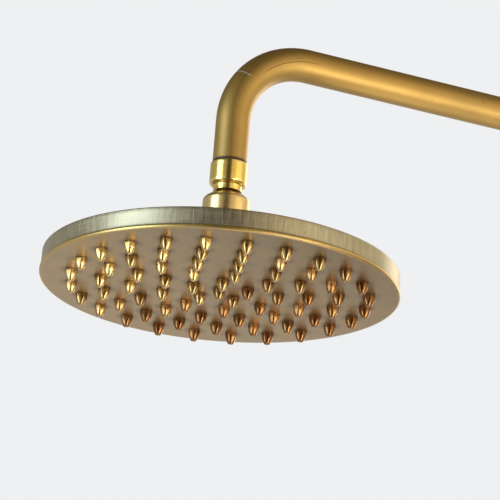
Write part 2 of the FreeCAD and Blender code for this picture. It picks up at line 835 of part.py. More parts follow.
for make in (spray_pan, nozzles, back_cover, cover_gasket, flow_restrictor, ball_collar, ball_liners,
             seat_washer, ball_stem, inlet_washer, arm_nipple, overhead_arm, swivel_spigot,
             spigot_seals, riser_socket, swivel_nut, riser_tube, bracket_clamp, bracket_screw,
             bracket_stem, bracket_flange, riser_tail, union_washer, union_nut):
    make()
doc.recompute()

for thing in doc.Objects:
    if "Invalid" in thing.State or "Error" in thing.State:
        raise RuntimeError(f"{thing.Name} failed: {thing.State}")
for body in sub_parts:
    if body.Shape.isNull() or not body.Shape.isValid() or body.Shape.Volume <= 0:
        raise RuntimeError(f"{body.Label} has no sound shape")
os.makedirs("parts", exist_ok=True)
for body in sub_parts:
    body.Shape.exportStep(f"parts/{body.Label}.step")
    print(f"{body.Label}: {len(body.Shape.Solids)} solid(s), {body.Shape.Volume:.0f} mm3")
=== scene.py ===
import json
import math
import random

import bmesh
import bpy
from mathutils import Matrix, Vector


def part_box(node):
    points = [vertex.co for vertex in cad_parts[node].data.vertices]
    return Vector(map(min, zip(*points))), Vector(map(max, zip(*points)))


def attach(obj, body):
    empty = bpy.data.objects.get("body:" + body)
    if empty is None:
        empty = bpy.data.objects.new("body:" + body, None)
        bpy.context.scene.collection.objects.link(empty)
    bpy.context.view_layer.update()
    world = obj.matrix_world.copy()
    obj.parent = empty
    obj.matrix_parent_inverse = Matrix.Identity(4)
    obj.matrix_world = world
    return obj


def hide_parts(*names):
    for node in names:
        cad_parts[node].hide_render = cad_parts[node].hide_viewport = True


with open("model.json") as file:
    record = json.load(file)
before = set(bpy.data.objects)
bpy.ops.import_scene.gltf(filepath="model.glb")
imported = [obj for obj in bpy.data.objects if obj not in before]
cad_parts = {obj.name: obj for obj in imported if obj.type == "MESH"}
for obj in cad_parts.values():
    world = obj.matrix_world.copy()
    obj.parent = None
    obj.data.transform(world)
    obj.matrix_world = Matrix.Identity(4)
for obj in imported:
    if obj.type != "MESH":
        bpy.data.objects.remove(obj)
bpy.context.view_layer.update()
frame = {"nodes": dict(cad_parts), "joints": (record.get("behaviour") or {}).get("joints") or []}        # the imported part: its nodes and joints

mm = 0.001
scene = bpy.context.scene
joints = {joint["name"]: joint for joint in frame["joints"]}
ballCentre = Vector(joints["ball_pitch"]["pos_m"])
riserAxis = Vector(joints["arm_swivel"]["pos_m"])
faceCentre = Vector((ballCentre.x, ballCentre.y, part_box("spray_pan")[0].z))
headTurn = math.radians(2)      # the head stands a little round from square
print("frame loaded:", len(frame["nodes"]), "nodes")


# camera

cameraSet = {
    "azimuth": 68.19,      # degrees round from the room side
    "elevation": -18.14,   # looks up at the spray face
    "roll": 4.59,
    "distance": 1.4917,
    "lens": 191.2,
    "rimAbove": 0.002,     # the view is set out from the rim's lower edge
    "aimRight": 0.0170,
    "aimUp": 0.0200,
}


def makeCamera(s):
    around, above = math.radians(s["azimuth"]), math.radians(s["elevation"])
    back = Vector((math.sin(around) * math.cos(above), -math.cos(around) * math.cos(above), math.sin(above)))
    level = Vector((0, 0, 1)).cross(back).normalized()
    roll = math.radians(s["roll"])
    right = level * math.cos(roll) + back.cross(level) * math.sin(roll)
    up = back.cross(right)
    rimCentre = faceCentre + Vector((0, 0, s["rimAbove"]))
    stand = rimCentre + back * s["distance"]
    aim = rimCentre + right * s["aimRight"] + up * s["aimUp"]
    nudge = back.rotation_difference((stand - aim).normalized()).to_matrix()
    camera = bpy.data.objects.new("camera", bpy.data.cameras.new("camera"))
    camera.data.lens = s["lens"]
    camera.data.sensor_width = 36
    camera.data.clip_start = 0.05
    camera.data.clip_end = 50
    axes = (nudge @ Matrix((right, up, back)).transposed()).to_4x4()
    camera.matrix_world = Matrix.Translation(stand) @ axes
    scene.collection.objects.link(camera)
    scene.camera = camera
    return [Vector((way.x, way.y, 0)).normalized() for way in (back, right)]


levelBack, levelRight = makeCamera(cameraSet)     # towards the camera and to its right, both level
print("camera placed")


# shader groups, each built once

class NodeBuilder:
    # short ways to add and join nodes in one tree

    def __init__(self, tree):
        self.tree = tree

    def feed(self, socket, source):
        if hasattr(source, "links"):
            self.tree.links.new(source, socket)
        elif source is not None:
            socket.default_value = source

    def feedAll(self, sockets, sources):
        for name, source in sources.items():
            self.feed(sockets[name], source)

    def add(self, kind, sources=None, **settings):
        # a node with its settings made and its inputs fed, by name or number
        node = self.tree.nodes.new("ShaderNode" + kind)
        for name, value in settings.items():
            setattr(node, name, value)
        self.feedAll(node.inputs, sources or {})
        return node.outputs

    def math(self, operation, first, second=None, third=None, clamp=False):
        return self.add("Math", {0: first, 1: second, 2: third}, operation=operation, use_clamp=clamp)[0]

    def times(self, first, second, clamp=False):
        return self.math("MULTIPLY", first, second, clamp=clamp)

    def between(self, value, low, high, outLow=0.0, outHigh=1.0):
        # a smooth step from outLow to outHigh while the value goes from low to high
        return self.add("MapRange", {0: value, 1: low, 2: high, 3: outLow, 4: outHigh},
                        interpolation_type="SMOOTHSTEP")[0]

    def noise(self, vector, scale, detail=3.0, rough=0.55):
        sources = {"Vector": vector, "Scale": scale, "Detail": detail, "Roughness": rough}
        return self.add("TexNoise", sources)["Fac"]

    def mix(self, factor, first, second, kind="MIX"):
        return self.add("Mix", {0: factor, 6: first, 7: second}, data_type="RGBA", blend_type=kind,
                        clamp_factor=True)[2]

    def shaded(self, colour, shade):
        # the colour times one number
        grey = self.add("CombineColor", {0: shade, 1: shade, 2: shade})[0]
        return self.mix(1.0, colour, grey, "MULTIPLY")

    def stretch(self, vector, factors):
        return self.add("VectorMath", {0: vector, 1: factors}, operation="MULTIPLY")[0]

    def split(self, vector):
        return self.add("SeparateXYZ", {0: vector})

    def join(self, x, y, z):
        return self.add("CombineXYZ", {0: x, 1: y, 2: z})[0]

    def bump(self, height, depth):
        return self.add("Bump", {"Height": height, "Distance": depth})[0]

    def attribute(self, name, output="Fac"):
        return self.add("Attribute", attribute_type="GEOMETRY", attribute_name=name)[output]


def newGroup(name, inputs, outputs):
    group = bpy.data.node_groups.new(name, "ShaderNodeTree")
    kinds = {"value": "NodeSocketFloat", "vector": "NodeSocketVector", "colour": "NodeSocketColor"}
    for way, sockets in (("INPUT", inputs), ("OUTPUT", outputs)):
        for kind, labels in sockets.items():
            for label in labels:
                group.interface.new_socket(label, in_out=way, socket_type=kinds[kind])
    entry = group.nodes.new("NodeGroupInput").outputs
    leave = group.nodes.new("NodeGroupOutput").inputs
    return group, NodeBuilder(group), entry, leave


lineInputs = {"vector": ["Grain"], "value": ["Lines", "Drift"]}


def makeLatheLines():
    # fine rings round the lathe's axis, from the piece's own grain coordinates
    group, build, entry, leave = newGroup("latheLines", lineInputs, {"value": ["Value"]})
    x, y, z = build.split(entry["Grain"])
    radius = build.math("SQRT", build.math("ADD", build.times(x, x), build.times(y, y)))
    rings = build.join(build.times(radius, entry["Lines"]), build.times(z, entry["Lines"]),
                       build.times(build.math("ADD", x, y), entry["Drift"]))
    build.feed(leave["Value"], build.noise(rings, 1.0, 4.0, 0.6))
    return group


def makeLengthLines():
    # streaks that run along a drawn tube
    group, build, entry, leave = newGroup("lengthLines", lineInputs, {"value": ["Value"]})
    streaks = build.stretch(entry["Grain"], build.join(entry["Lines"], entry["Lines"], entry["Drift"]))
    build.feed(leave["Value"], build.noise(streaks, 1.0, 4.0, 0.62))
    return group


def makeAgedBrass():
    # antique finish: clouds of darker patina, brown in the recesses, bright where edges are rubbed; where a
    # piece sets its edge marks for it, the recess colour also carries painted shade and the worn colour a
    # painted highlight
    group, build, entry, leave = newGroup("agedBrass", {
        "vector": ["Place"], "colour": ["Clean", "Dull", "Recess_and_shade", "Wear_and_highlight"],
        "value": ["Lines", "Edge", "Cloud Size", "Patina", "Line Depth", "Wear", "Roughness"],
    }, {"colour": ["Color"], "value": ["Roughness", "Height"]})
    cloud = build.noise(entry["Place"], entry["Cloud Size"], 5.0, 0.6)
    fine = build.noise(entry["Place"], build.times(entry["Cloud Size"], 9.0), 3.0, 0.6)
    patina = build.times(build.between(cloud, 0.36, 0.66), entry["Patina"], clamp=True)
    colour = build.mix(patina, entry["Clean"], entry["Dull"])
    lines = build.between(entry["Lines"], 0.28, 0.74)
    uneven = build.math("SUBTRACT", lines, 0.5)
    colour = build.shaded(colour, build.math("MULTIPLY_ADD", uneven, entry["Line Depth"], 1.0))
    colour = build.mix(build.between(fine, 0.66, 0.76, 0.0, 0.35), colour, entry["Recess_and_shade"])
    # brown in inside corners, and painted shade where a piece marks its edges dark
    recess_and_shade = build.between(entry["Edge"], 0.46, 0.12)
    recess_and_shade = build.times(recess_and_shade, build.between(fine, 0.2, 0.6, 0.65, 1.0), clamp=True)
    colour = build.mix(recess_and_shade, colour, entry["Recess_and_shade"])
    # bright on rubbed edges, and a painted highlight where a piece marks an edge bright
    wearAndHighlight = build.times(build.between(entry["Edge"], 0.56, 0.86), build.between(fine, 0.3, 0.55, 0.55, 1.0))
    wearAndHighlight = build.times(wearAndHighlight, entry["Wear"], clamp=True)
    build.feed(leave["Color"], build.mix(wearAndHighlight, colour, entry["Wear_and_highlight"]))
    rough = entry["Roughness"]
    for mask, change in ((patina, 0.10), (uneven, 0.10), (recess_and_shade, 0.25), (wearAndHighlight, -0.08)):
        rough = build.math("MULTIPLY_ADD", mask, change, rough)
    build.feed(leave["Roughness"], build.math("MAXIMUM", rough, 0.05))
    build.feed(leave["Height"], build.math("MULTIPLY_ADD", fine, 0.25, lines))
    return group


groups = {"lathe": makeLatheLines(), "length": makeLengthLines(), "brass": makeAgedBrass()}
print("shader groups ready")


# materials

def newMaterial(name):
    material = bpy.data.materials.new(name)
    material.use_nodes = True
    tree = material.node_tree
    tree.nodes.clear()
    shader = tree.nodes.new("ShaderNodeBsdfPrincipled")
    output = tree.nodes.new("ShaderNodeOutputMaterial")
    tree.links.new(shader.outputs[0], output.inputs[0])
    return material, NodeBuilder(tree), shader.inputs


def brassMaterial(name, s):
    # one antique brass, from a dictionary of its own numbers
    material, build, socket = newMaterial(name)
    lines = build.add("Group", {
        "Grain": build.attribute("grain", "Vector"), "Lines": s["lines"], "Drift": s["drift"],
    }, node_tree=groups[s["lineGroup"]])["Value"]
    colours = {label: (*s[label.lower()], 1) for label in ("Clean", "Dull", "Recess_and_shade", "Wear_and_highlight")}
    brass = build.add("Group", {
        "Place": build.add("TexCoord")["Object"], "Lines": lines, "Edge": build.attribute("edge"), **colours,
        "Cloud Size": s["cloudSize"], "Patina": s["patina"], "Line Depth": s["lineDepth"],
        "Wear": s["wear"], "Roughness": s["roughness"],
    }, node_tree=groups["brass"])
    build.feedAll(socket, {
        "Base Color": brass["Color"], "Roughness": brass["Roughness"], "Metallic": 1.0,
        "Coat Weight": s["coat"], "Coat Roughness": s["roughness"] * 0.8,     # thin clear lacquer
        "Normal": build.bump(brass["Height"], s["bump"]),
    })
    return material, build, socket, brass


tubeFinish = {
    "lineGroup": "length", "lines": 900.0, "drift": 9.0,
    "clean": (0.46, 0.285, 0.065), "dull": (0.37, 0.24, 0.055),
    "recess_and_shade": (0.07, 0.035, 0.012), "wear_and_highlight": (0.92, 0.72, 0.33),
    "cloudSize": 22.0, "patina": 0.5, "lineDepth": 0.192, "wear": 0.8,
    "roughness": 0.50, "bump": 0.000008, "coat": 0.7,
    "glintAt": 0.4650,      # length along the arm's line where a fine bright line, a painted reflection, crosses the head's elbow
    "glintWidth": 0.0004,
    # colour of the painted reflection across the elbow
    "paintedGlint": (0.98, 0.93, 0.78),
    "drawnAt": (0.0020, 0.414, 0.460),    # a drawn line along the elbow: height on the tube, start and end
}


def makeTubeBrass(s):
    material, build, socket, brass = brassMaterial("tubeBrass", s)
    grain = build.attribute("grain", "Vector")
    _, y, z = build.split(grain)
    along = build.math("MULTIPLY_ADD", build.noise(grain, 120.0, 2.0), 0.0016, z)
    # a painted reflection: a fine bright line across the elbow
    away = build.math("ABSOLUTE", build.math("SUBTRACT", along, s["glintAt"]))
    paintedGlint = build.between(away, s["glintWidth"], s["glintWidth"] * 0.3)
    paintedGlint = build.times(paintedGlint, build.between(build.noise(grain, 200.0), 0.3, 0.42))
    paintedGlint = build.times(paintedGlint, build.between(y, -0.0015, -0.004))
    colour = build.mix(paintedGlint, brass["Color"], (*s["paintedGlint"], 1))
    height, start, end = s["drawnAt"]
    line = build.math("MULTIPLY_ADD", build.noise(grain, 40.0, 2.0), 0.0012, y)
    line = build.math("ABSOLUTE", build.math("SUBTRACT", line, height))
    line = build.between(line, 0.00035, 0.0001, 0.0, 0.75)
    for low, high in ((start, start + 0.01), (end, end - 0.01)):
        line = build.times(line, build.between(z, low, high))
    build.feed(socket["Base Color"], build.mix(line, colour, (*s["recess_and_shade"], 1)))
    return material


turnedFinish = {
    "lineGroup": "lathe", "lines": 2600.0, "drift": 10.0,
    "clean": (0.90, 0.67, 0.18), "dull": (0.80, 0.57, 0.14),
    "recess_and_shade": (0.17, 0.08, 0.02), "wear_and_highlight": (0.98, 0.83, 0.42),
    "cloudSize": 60.0, "patina": 0.5, "lineDepth": 0.08, "wear": 0.5,
    "roughness": 0.20, "bump": 0.000003, "coat": 0.6,
}
# the ball collar and the wall flange are a softer, paler brass than the small turned pieces
satinFinish = {
    "lineGroup": "lathe", "lines": 2200.0, "drift": 10.0,
    "clean": (0.80, 0.61, 0.26), "dull": (0.70, 0.51, 0.21),
    "recess_and_shade": (0.17, 0.09, 0.03), "wear_and_highlight": (0.96, 0.82, 0.46),
    "cloudSize": 50.0, "patina": 0.5, "lineDepth": 0.10, "wear": 0.5,
    "roughness": 0.27, "bump": 0.000003, "coat": 0.8,
}


def makeTurnedBrass(name, s):
    return brassMaterial(name, s)[0]


spunFinish = {
    "lineGroup": "lathe", "lines": 1500.0, "drift": 60.0,
    "clean": (0.46, 0.41, 0.28), "dull": (0.36, 0.33, 0.24),
    "recess_and_shade": (0.14, 0.10, 0.05), "wear_and_highlight": (0.90, 0.66, 0.16),
    "cloudSize": 14.0, "patina": 0.8, "lineDepth": 0.12, "wear": 1.0,
    "roughness": 0.34, "bump": 0.000006, "coat": 0.4,
    # colour of the painted shade on the spray face
    "paintedShade": (0.12, 0.065, 0.022),
    "face": (0.61, 0.395, 0.17),      # the spray face is browner than the rim
    "faceRoughness": 0.36,
    "tickDensity": 1320.0,
}


def makeSpunBrass(s):
    material, build, socket, brass = brassMaterial("spunBrass", s)
    grain = build.attribute("grain", "Vector")
    # upright brush ticks on the rim: fine across, long in height
    ticks = build.noise(build.stretch(grain, (1.0, 1.0, 0.06)), s["tickDensity"], 3.0, 0.6)
    ticks = build.between(ticks, 0.36, 0.68)
    rimColour = build.shaded(brass["Color"], build.math("MULTIPLY_ADD", ticks, 0.34, 0.80))
    mottle = build.noise(grain, 34.0, 5.0, 0.62)
    face = build.mix(build.between(mottle, 0.35, 0.7, 0.0, 0.5), (*s["face"], 1), (*s["dull"], 1))
    face = build.mix(0.25, face, brass["Color"])
    # painted shade and painted reflection round the nozzles, and painted shade across the face
    face = build.mix(build.attribute("paintedShade"), face, (*s["paintedShade"], 1))
    faceRough = build.math("MULTIPLY_ADD", mottle, 0.10, s["faceRoughness"] - 0.05)
    rimRough = build.math("MULTIPLY_ADD", ticks, 0.12, brass["Roughness"])
    rim = build.attribute("rim")
    rough = build.add("Mix", {0: rim, 2: faceRough, 3: rimRough}, data_type="FLOAT")[0]
    build.feedAll(socket, {"Base Color": build.mix(rim, face, rimColour), "Roughness": rough})
    return material


nozzleFinish = {
    "lineGroup": "lathe", "lines": 5200.0, "drift": 30.0,
    "clean": (0.44, 0.28, 0.085), "dull": (0.28, 0.15, 0.04), "copper": (0.20, 0.078, 0.014),
    "recess_and_shade": (0.07, 0.03, 0.01), "wear_and_highlight": (0.92, 0.72, 0.36),
    "cloudSize": 90.0, "patina": 0.6, "lineDepth": 0.10, "wear": 0.35,
    "roughness": 0.21, "bump": 0.000002, "coat": 0.5,
}


def makeNozzleBrass(s):
    material, build, socket, brass = brassMaterial("nozzleBrass", s)
    copper = build.between(build.attribute("tone"), 0.1, 0.75, 0.0, 0.95)
    build.feed(socket["Base Color"], build.mix(copper, brass["Color"], (*s["copper"], 1)))
    return material


hiddenFinish = {
    "rubber": {"colour": (0.025, 0.025, 0.027), "spot": (0.05, 0.05, 0.05),
               "grain": 900.0, "roughness": 0.62},
    "plastic": {"colour": (0.78, 0.78, 0.74), "spot": (0.66, 0.65, 0.60),
                "grain": 500.0, "roughness": 0.42},
    "steel": {"colour": (0.50, 0.48, 0.45), "spot": (0.34, 0.32, 0.30),
              "grain": 1600.0, "roughness": 0.30},
}


def makePlain(name, s, metallic):
    material, build, socket = newMaterial(name)
    place = build.add("TexCoord")["Object"]
    speckle = build.noise(place, s["grain"], 4.0, 0.6)
    soft = build.noise(place, s["grain"] / 12, 3.0, 0.5)
    mask = build.times(build.between(speckle, 0.4, 0.65), build.between(soft, 0.3, 0.7))
    build.feedAll(socket, {
        "Base Color": build.mix(mask, (*s["colour"], 1), (*s["spot"], 1)), "Metallic": metallic,
        "Roughness": build.math("MULTIPLY_ADD", speckle, 0.16, s["roughness"] - 0.08),
        "Normal": build.bump(speckle, 0.00002),
    })
    return material


materials = {
    "tube": makeTubeBrass(tubeFinish),
    "turned": makeTurnedBrass("turnedBrass", turnedFinish),
    "satin": makeTurnedBrass("satinBrass", satinFinish),
    "spun": makeSpunBrass(spunFinish),
    "nozzle": makeNozzleBrass(nozzleFinish),
    "rubber": makePlain("sealRubber", hiddenFinish["rubber"], 0.0),
    "plastic": makePlain("linerPlastic", hiddenFinish["plastic"], 0.0),
    "steel": makePlain("screwSteel", hiddenFinish["steel"], 1.0),
}
print("materials ready")


# modelling tools

def profileWire(bm, corners, closed=True):
    # a chain of edges through (radius, height) corners; a third number rounds the corner, and
    # ("arc", radius, left, end, steps) curves from the last corner to its end
    points = []
    for corner in corners:
        if corner[0] == "arc":
            points += arcPoints(points[-1][0], corner[3], corner[1], corner[2], corner[4])
        else:
            points.append((corner[:2], corner[2] if len(corner) > 2 else 0))
    verts = [bm.verts.new((point[0] * mm, 0, point[1] * mm)) for point, _ in points]
    pairs = list(zip(verts, verts[1:] + verts[:1]))
    if not closed:
        pairs.pop()
    for first, second in pairs:
        bm.edges.new((first, second))
    for vert, (_, radius) in zip(verts, points):
        if radius:
            steps = max(3, min(10, round(radius * 4)))
            bmesh.ops.bevel(bm, geom=[vert], offset=radius * mm, offset_type="OFFSET", segments=steps,
                            profile=0.5, affect="VERTICES", clamp_overlap=False, material=-1)
    return list(bm.edges)


def arcPoints(start, end, radius, left, steps):
    # points on the short arc between two corners, ends left out
    first, last = Vector(start), Vector(end)
    chord = last - first
    side = Vector((-chord.y, chord.x)).normalized() * (1 if left else -1)
    centre = (first + last) / 2 + side * math.sqrt(max(radius ** 2 - chord.length_squared / 4, 0))
    begin = math.atan2(first.y - centre.y, first.x - centre.x)
    sweep = math.atan2(last.y - centre.y, last.x - centre.x) - begin
    sweep = (sweep + math.pi) % (2 * math.pi) - math.pi
    angles = [begin + sweep * step / steps for step in range(1, steps)]
    return [((centre.x + radius * math.cos(a), centre.y + radius * math.sin(a)), 0) for a in angles]


def refine(bm, edges, longest):
    # cuts long straight sides, so that edge wear stays near its edge
    for edge in edges:
        cuts = math.ceil(edge.calc_length() / longest) - 1
        if cuts > 0:
            bmesh.ops.subdivide_edges(bm, edges=[edge], cuts=min(cuts, 60))


def turned(corners, around=96, longest=1.2, closed=True):
    # a bmesh turned about Z from a profile, with its seam and poles closed
    bm = bmesh.new()
    refine(bm, profileWire(bm, corners, closed), longest * mm)
    bmesh.ops.spin(bm, geom=list(bm.verts) + list(bm.edges), cent=(0, 0, 0), axis=(0, 0, 1),
                   angle=2 * math.pi, steps=around, use_merge=True)
    bmesh.ops.remove_doubles(bm, verts=bm.verts, dist=1e-6)
    bmesh.ops.dissolve_degenerate(bm, edges=bm.edges, dist=1e-7)
    bmesh.ops.recalc_face_normals(bm, faces=bm.faces)
    return bm


def markGrain(bm):
    # remembers where each point sat on the lathe, before the piece is moved or bent
    layer = bm.verts.layers.float_vector.get("grain") or bm.verts.layers.float_vector.new("grain")
    for vert in bm.verts:
        vert[layer] = vert.co


def markEdges(bm, fullAngle):
    # 1 on outside edges, 0 in inside corners, one half on the flat
    layer = bm.verts.layers.float.get("edge") or bm.verts.layers.float.new("edge")
    for vert in bm.verts:
        angles = [edge.calc_face_angle_signed(0.0) for edge in vert.link_edges if len(edge.link_faces) == 2]
        strongest = max(angles, key=abs, default=0.0)
        vert[layer] = 0.5 + 0.5 * max(-1.0, min(1.0, strongest / fullAngle))


def markBrass(bm, fullAngle=0.30):
    # what the brass materials read from the mesh
    markGrain(bm)
    markEdges(bm, fullAngle)


def newObject(name, bm):
    mesh = bpy.data.meshes.new(name)
    bm.to_mesh(mesh)
    bm.free()
    piece = bpy.data.objects.new(name, mesh)
    scene.collection.objects.link(piece)
    return piece


def finishPiece(name, bm, finish, node, body, matrix=None, sharp=35):
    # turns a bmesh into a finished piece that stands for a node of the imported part
    if matrix is not None:
        bmesh.ops.transform(bm, matrix=matrix, verts=bm.verts)
    piece = newObject(name, bm)
    mesh = piece.data
    mesh.polygons.foreach_set("use_smooth", [True] * len(mesh.polygons))
    mesh.set_sharp_from_angle(angle=math.radians(sharp))
    mesh.materials.append(materials[finish])
    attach(piece, body)
    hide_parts(node)


def combine(base, tool, how):
    # joins or cuts two solids, and leaves one clean mesh
    other = newObject("toolWork", tool)
    change = base.modifiers.new("combine", "BOOLEAN")
    change.operation = how
    change.solver = "EXACT"
    change.object = other
    bpy.context.view_layer.update()
    evaluated = base.evaluated_get(bpy.context.evaluated_depsgraph_get())
    result = bpy.data.meshes.new_from_object(evaluated)
    base.modifiers.clear()
    base.data = result
    bpy.data.objects.remove(other)


def reopened(base):
    # a marked bmesh of a solid that was joined or cut, with its doubled points merged
    bm = bmesh.new()
    bm.from_mesh(base.data)
    bpy.data.objects.remove(base)
    bmesh.ops.remove_doubles(bm, verts=bm.verts, dist=1e-6)
    markBrass(bm, 0.5)
    return bm


def straightBar(sides, low, high, length):
    # a plain bar centred on Z; low and high are the radii of its ends
    bm = bmesh.new()
    bmesh.ops.create_cone(bm, cap_ends=True, segments=sides, radius1=low * mm, radius2=high * mm,
                          depth=length * mm)
    return bm


def at(point, turn=0.0):
    return Matrix.Translation(point) @ Matrix.Rotation(turn, 4, "Z")


def toWall(y):
    # lays a piece turned about Z down along the line from wall to riser, its foot at that y
    return Matrix.Translation((riserAxis.x, y, 0)) @ Matrix.Rotation(math.radians(90), 4, "X")


onHead = at(faceCentre, headTurn)
onRiser = Matrix.Translation((riserAxis.x, riserAxis.y, 0))


# rain head

pan = {
    "radius": 101.6, "height": 12.3, "lipRound": 0.6,
    "bandHeight": 2.2, "bandStep": 0.7, "bandRound": 1.3,    # rolled band between face and rim
    "lipWidth": 3.0, "lip": 0.8, "wall": 1.2, "sheet": 1.6,
    # a painted highlight runs round the band's top edge
    "around": 256, "bandHighlight": 0.95, "topWorn": 0.6,
    # painted shade round each nozzle: how far it reaches, its full core and its most; and the most painted
    # shade across the face
    "nozzleShadeReach": 8.5, "nozzleShadeCore": 2.6, "nozzleShadeMost": 0.85, "shadeMost": 0.55,
    # the face takes more painted shade that way across, first worked out from the camera's side
    "shadeWay": (0.9253, 0.3813),
}
nozzleSet = {
    "counts": [5, 9, 14, 19, 24],     # nozzles in each ring, from the middle out
    "firstRing": 16.2, "pitch": 16.95,
    "length": 6.3, "hexCorner": 3.75, "draft": 0.14, "shoulder": 3.75, "shoulderHeight": 1.9,
    "foot": 1.6, "tipRound": 0.25, "orifice": 0.45, "countersink": 0.68, "around": 32,
    "copperReach": 84.0, "toneMiddle": 0.50, "toneMost": 0.75, "toneVary": (-0.16, 0.12), "lean": 0.6,
    # the nozzles turn darker and more copper-coloured that way across the head, first worked out from the
    # camera's side
    "copperWay": (-0.3074, 0.4880),
    "rootHeight": 0.9, "rootShade": 0.1,    # painted shade where the nozzle meets the face
}


def nozzleRings(s):
    rings = [(0.0, 1)]
    return rings + [(s["firstRing"] + s["pitch"] * number, count) for number, count in enumerate(s["counts"])]


def makePan(s):
    rimRadius = s["radius"] - s["bandStep"]
    inner = rimRadius - s["wall"]
    top = s["height"] - s["lip"]
    bm = turned([
        (0, 0), (s["radius"] - 6, 0), (s["radius"], 0, s["bandRound"]),
        (s["radius"], s["bandHeight"], 0.6), (rimRadius, s["bandHeight"] + 0.25, 0.2),
        (rimRadius, s["height"], s["lipRound"]),
        (rimRadius - s["lipWidth"], s["height"], 0.25),
        (rimRadius - s["lipWidth"], top), (inner, top), (inner, s["sheet"]), (0, s["sheet"]),
    ], around=s["around"], longest=2.0, closed=False)
    markBrass(bm)
    rim = bm.verts.layers.float.new("rim")
    edge = bm.verts.layers.float["edge"]
    start, full = s["bandHeight"] * 0.45 * mm, s["bandHeight"] * mm
    for vert in bm.verts:
        vert[rim] = max(0.0, min(1.0, (vert.co.z - start) / (full - start)))
        outside = math.hypot(vert.co.x, vert.co.y) > rimRadius * mm
        if outside and full - 1.1 * mm < vert.co.z < full + 0.3 * mm:
            vert[edge] = s["bandHighlight"]     # the band's top edge is painted bright all round, a painted highlight
        elif vert.co.z > (s["height"] - 1) * mm:
            vert[edge] = min(vert[edge], s["topWorn"])
    # painted shade and painted reflection round each nozzle's foot, stored on the mesh
    paintedShade = bm.verts.layers.float.new("paintedShade")
    spots = [Matrix.Rotation(2 * math.pi * number / count, 3, "Z") @ Vector((0, -radius * mm, 0))
             for radius, count in nozzleRings(nozzleSet) for number in range(count)]
    shadeSide = Matrix.Rotation(-headTurn, 3, "Z") @ Vector((*s["shadeWay"], 0))
    for vert in bm.verts:
        flat = Vector((vert.co.x, vert.co.y, 0))
        gap = min((flat - spot).length for spot in spots) / mm
        dark = max(0.0, min(1.0, (s["nozzleShadeReach"] - gap) / (s["nozzleShadeReach"] - s["nozzleShadeCore"])))
        # painted shade that grows towards one side of the face
        across = 0.5 + 0.5 * flat.dot(shadeSide) / (s["radius"] * mm)
        vert[paintedShade] = 1 - (1 - s["nozzleShadeMost"] * dark ** 1.5) * (1 - s["shadeMost"] * across * across)
    finishPiece("rainPan", bm, "spun", "spray_pan", "head", onHead)


cover = {
    "radius": 99.7, "edge": 5.0, "low": 10.3, "top": 11.5, "crown": 17.0,
    "hub": 17.0, "hubTop": 28.0, "hubRound": 3.0, "seat": 12.0, "seatTop": 37.0, "bore": 8.5,
    "around": 160,
}


def crownRadius(run, rise):
    return (run * run + rise * rise) / (rise * 2)


def makeCover(s):
    flat = s["radius"] - s["edge"]
    rise = s["crown"] - s["top"]
    under = rise + s["low"]
    bm = turned([
        (s["radius"], s["low"]), (s["radius"], s["top"], 0.3), (flat, s["top"]),
        ("arc", crownRadius(flat - s["hub"], rise), True, (s["hub"], s["crown"]), 28),
        (s["hub"], s["crown"], 0.9), (s["hub"], s["hubTop"], s["hubRound"]),
        (s["seat"] + 0.6, s["hubTop"]), (s["seat"] + 0.6, s["hubTop"] - 0.5),
        (s["seat"], s["hubTop"] - 0.5), (s["seat"], s["seatTop"], 0.5), (s["bore"], s["seatTop"], 0.4),
        (s["bore"], under),
        ("arc", crownRadius(flat - s["bore"], rise), False, (flat, s["low"]), 24),
        (flat, s["low"]),
    ], around=s["around"], longest=2.5)
    markBrass(bm)
    rim = bm.verts.layers.float.new("rim")
    for vert in bm.verts:
        vert[rim] = 0.6
    finishPiece("backCover", bm, "spun", "back_cover", "head", onHead)


makePan(pan)
makeCover(cover)
print("rain head spun")


def oneNozzle(s):
    # a tapered hexagon turned down to a cone, so its flats run out in curves, with a drilled tip
    length = s["length"] + 1.0
    bm = straightBar(6, s["hexCorner"] - length * s["draft"], s["hexCorner"], length)
    bmesh.ops.translate(bm, verts=bm.verts, vec=(0, 0, (0.3 - length / 2) * mm))
    upright = [edge for edge in bm.edges if abs(edge.verts[0].co.z - edge.verts[1].co.z) > 1.5 * mm]
    bmesh.ops.bevel(bm, geom=upright, offset=0.12 * mm, offset_type="OFFSET", segments=1, profile=0.5,
                    affect="EDGES", clamp_overlap=True, material=-1)
    bar = newObject("barWork", bm)
    cone = turned([
        (0, 0.3), (s["shoulder"], 0.3), (s["shoulder"], -s["shoulderHeight"]),
        (s["foot"], -s["length"], s["tipRound"]), (s["countersink"], -s["length"]),
        (s["orifice"], -s["length"] + 0.4), (s["orifice"], -s["length"] + 1.8), (0, -s["length"] + 1.8),
    ], around=s["around"], longest=20, closed=False)
    combine(bar, cone, "INTERSECT")
    mesh = bar.data
    bpy.data.objects.remove(bar)
    return mesh


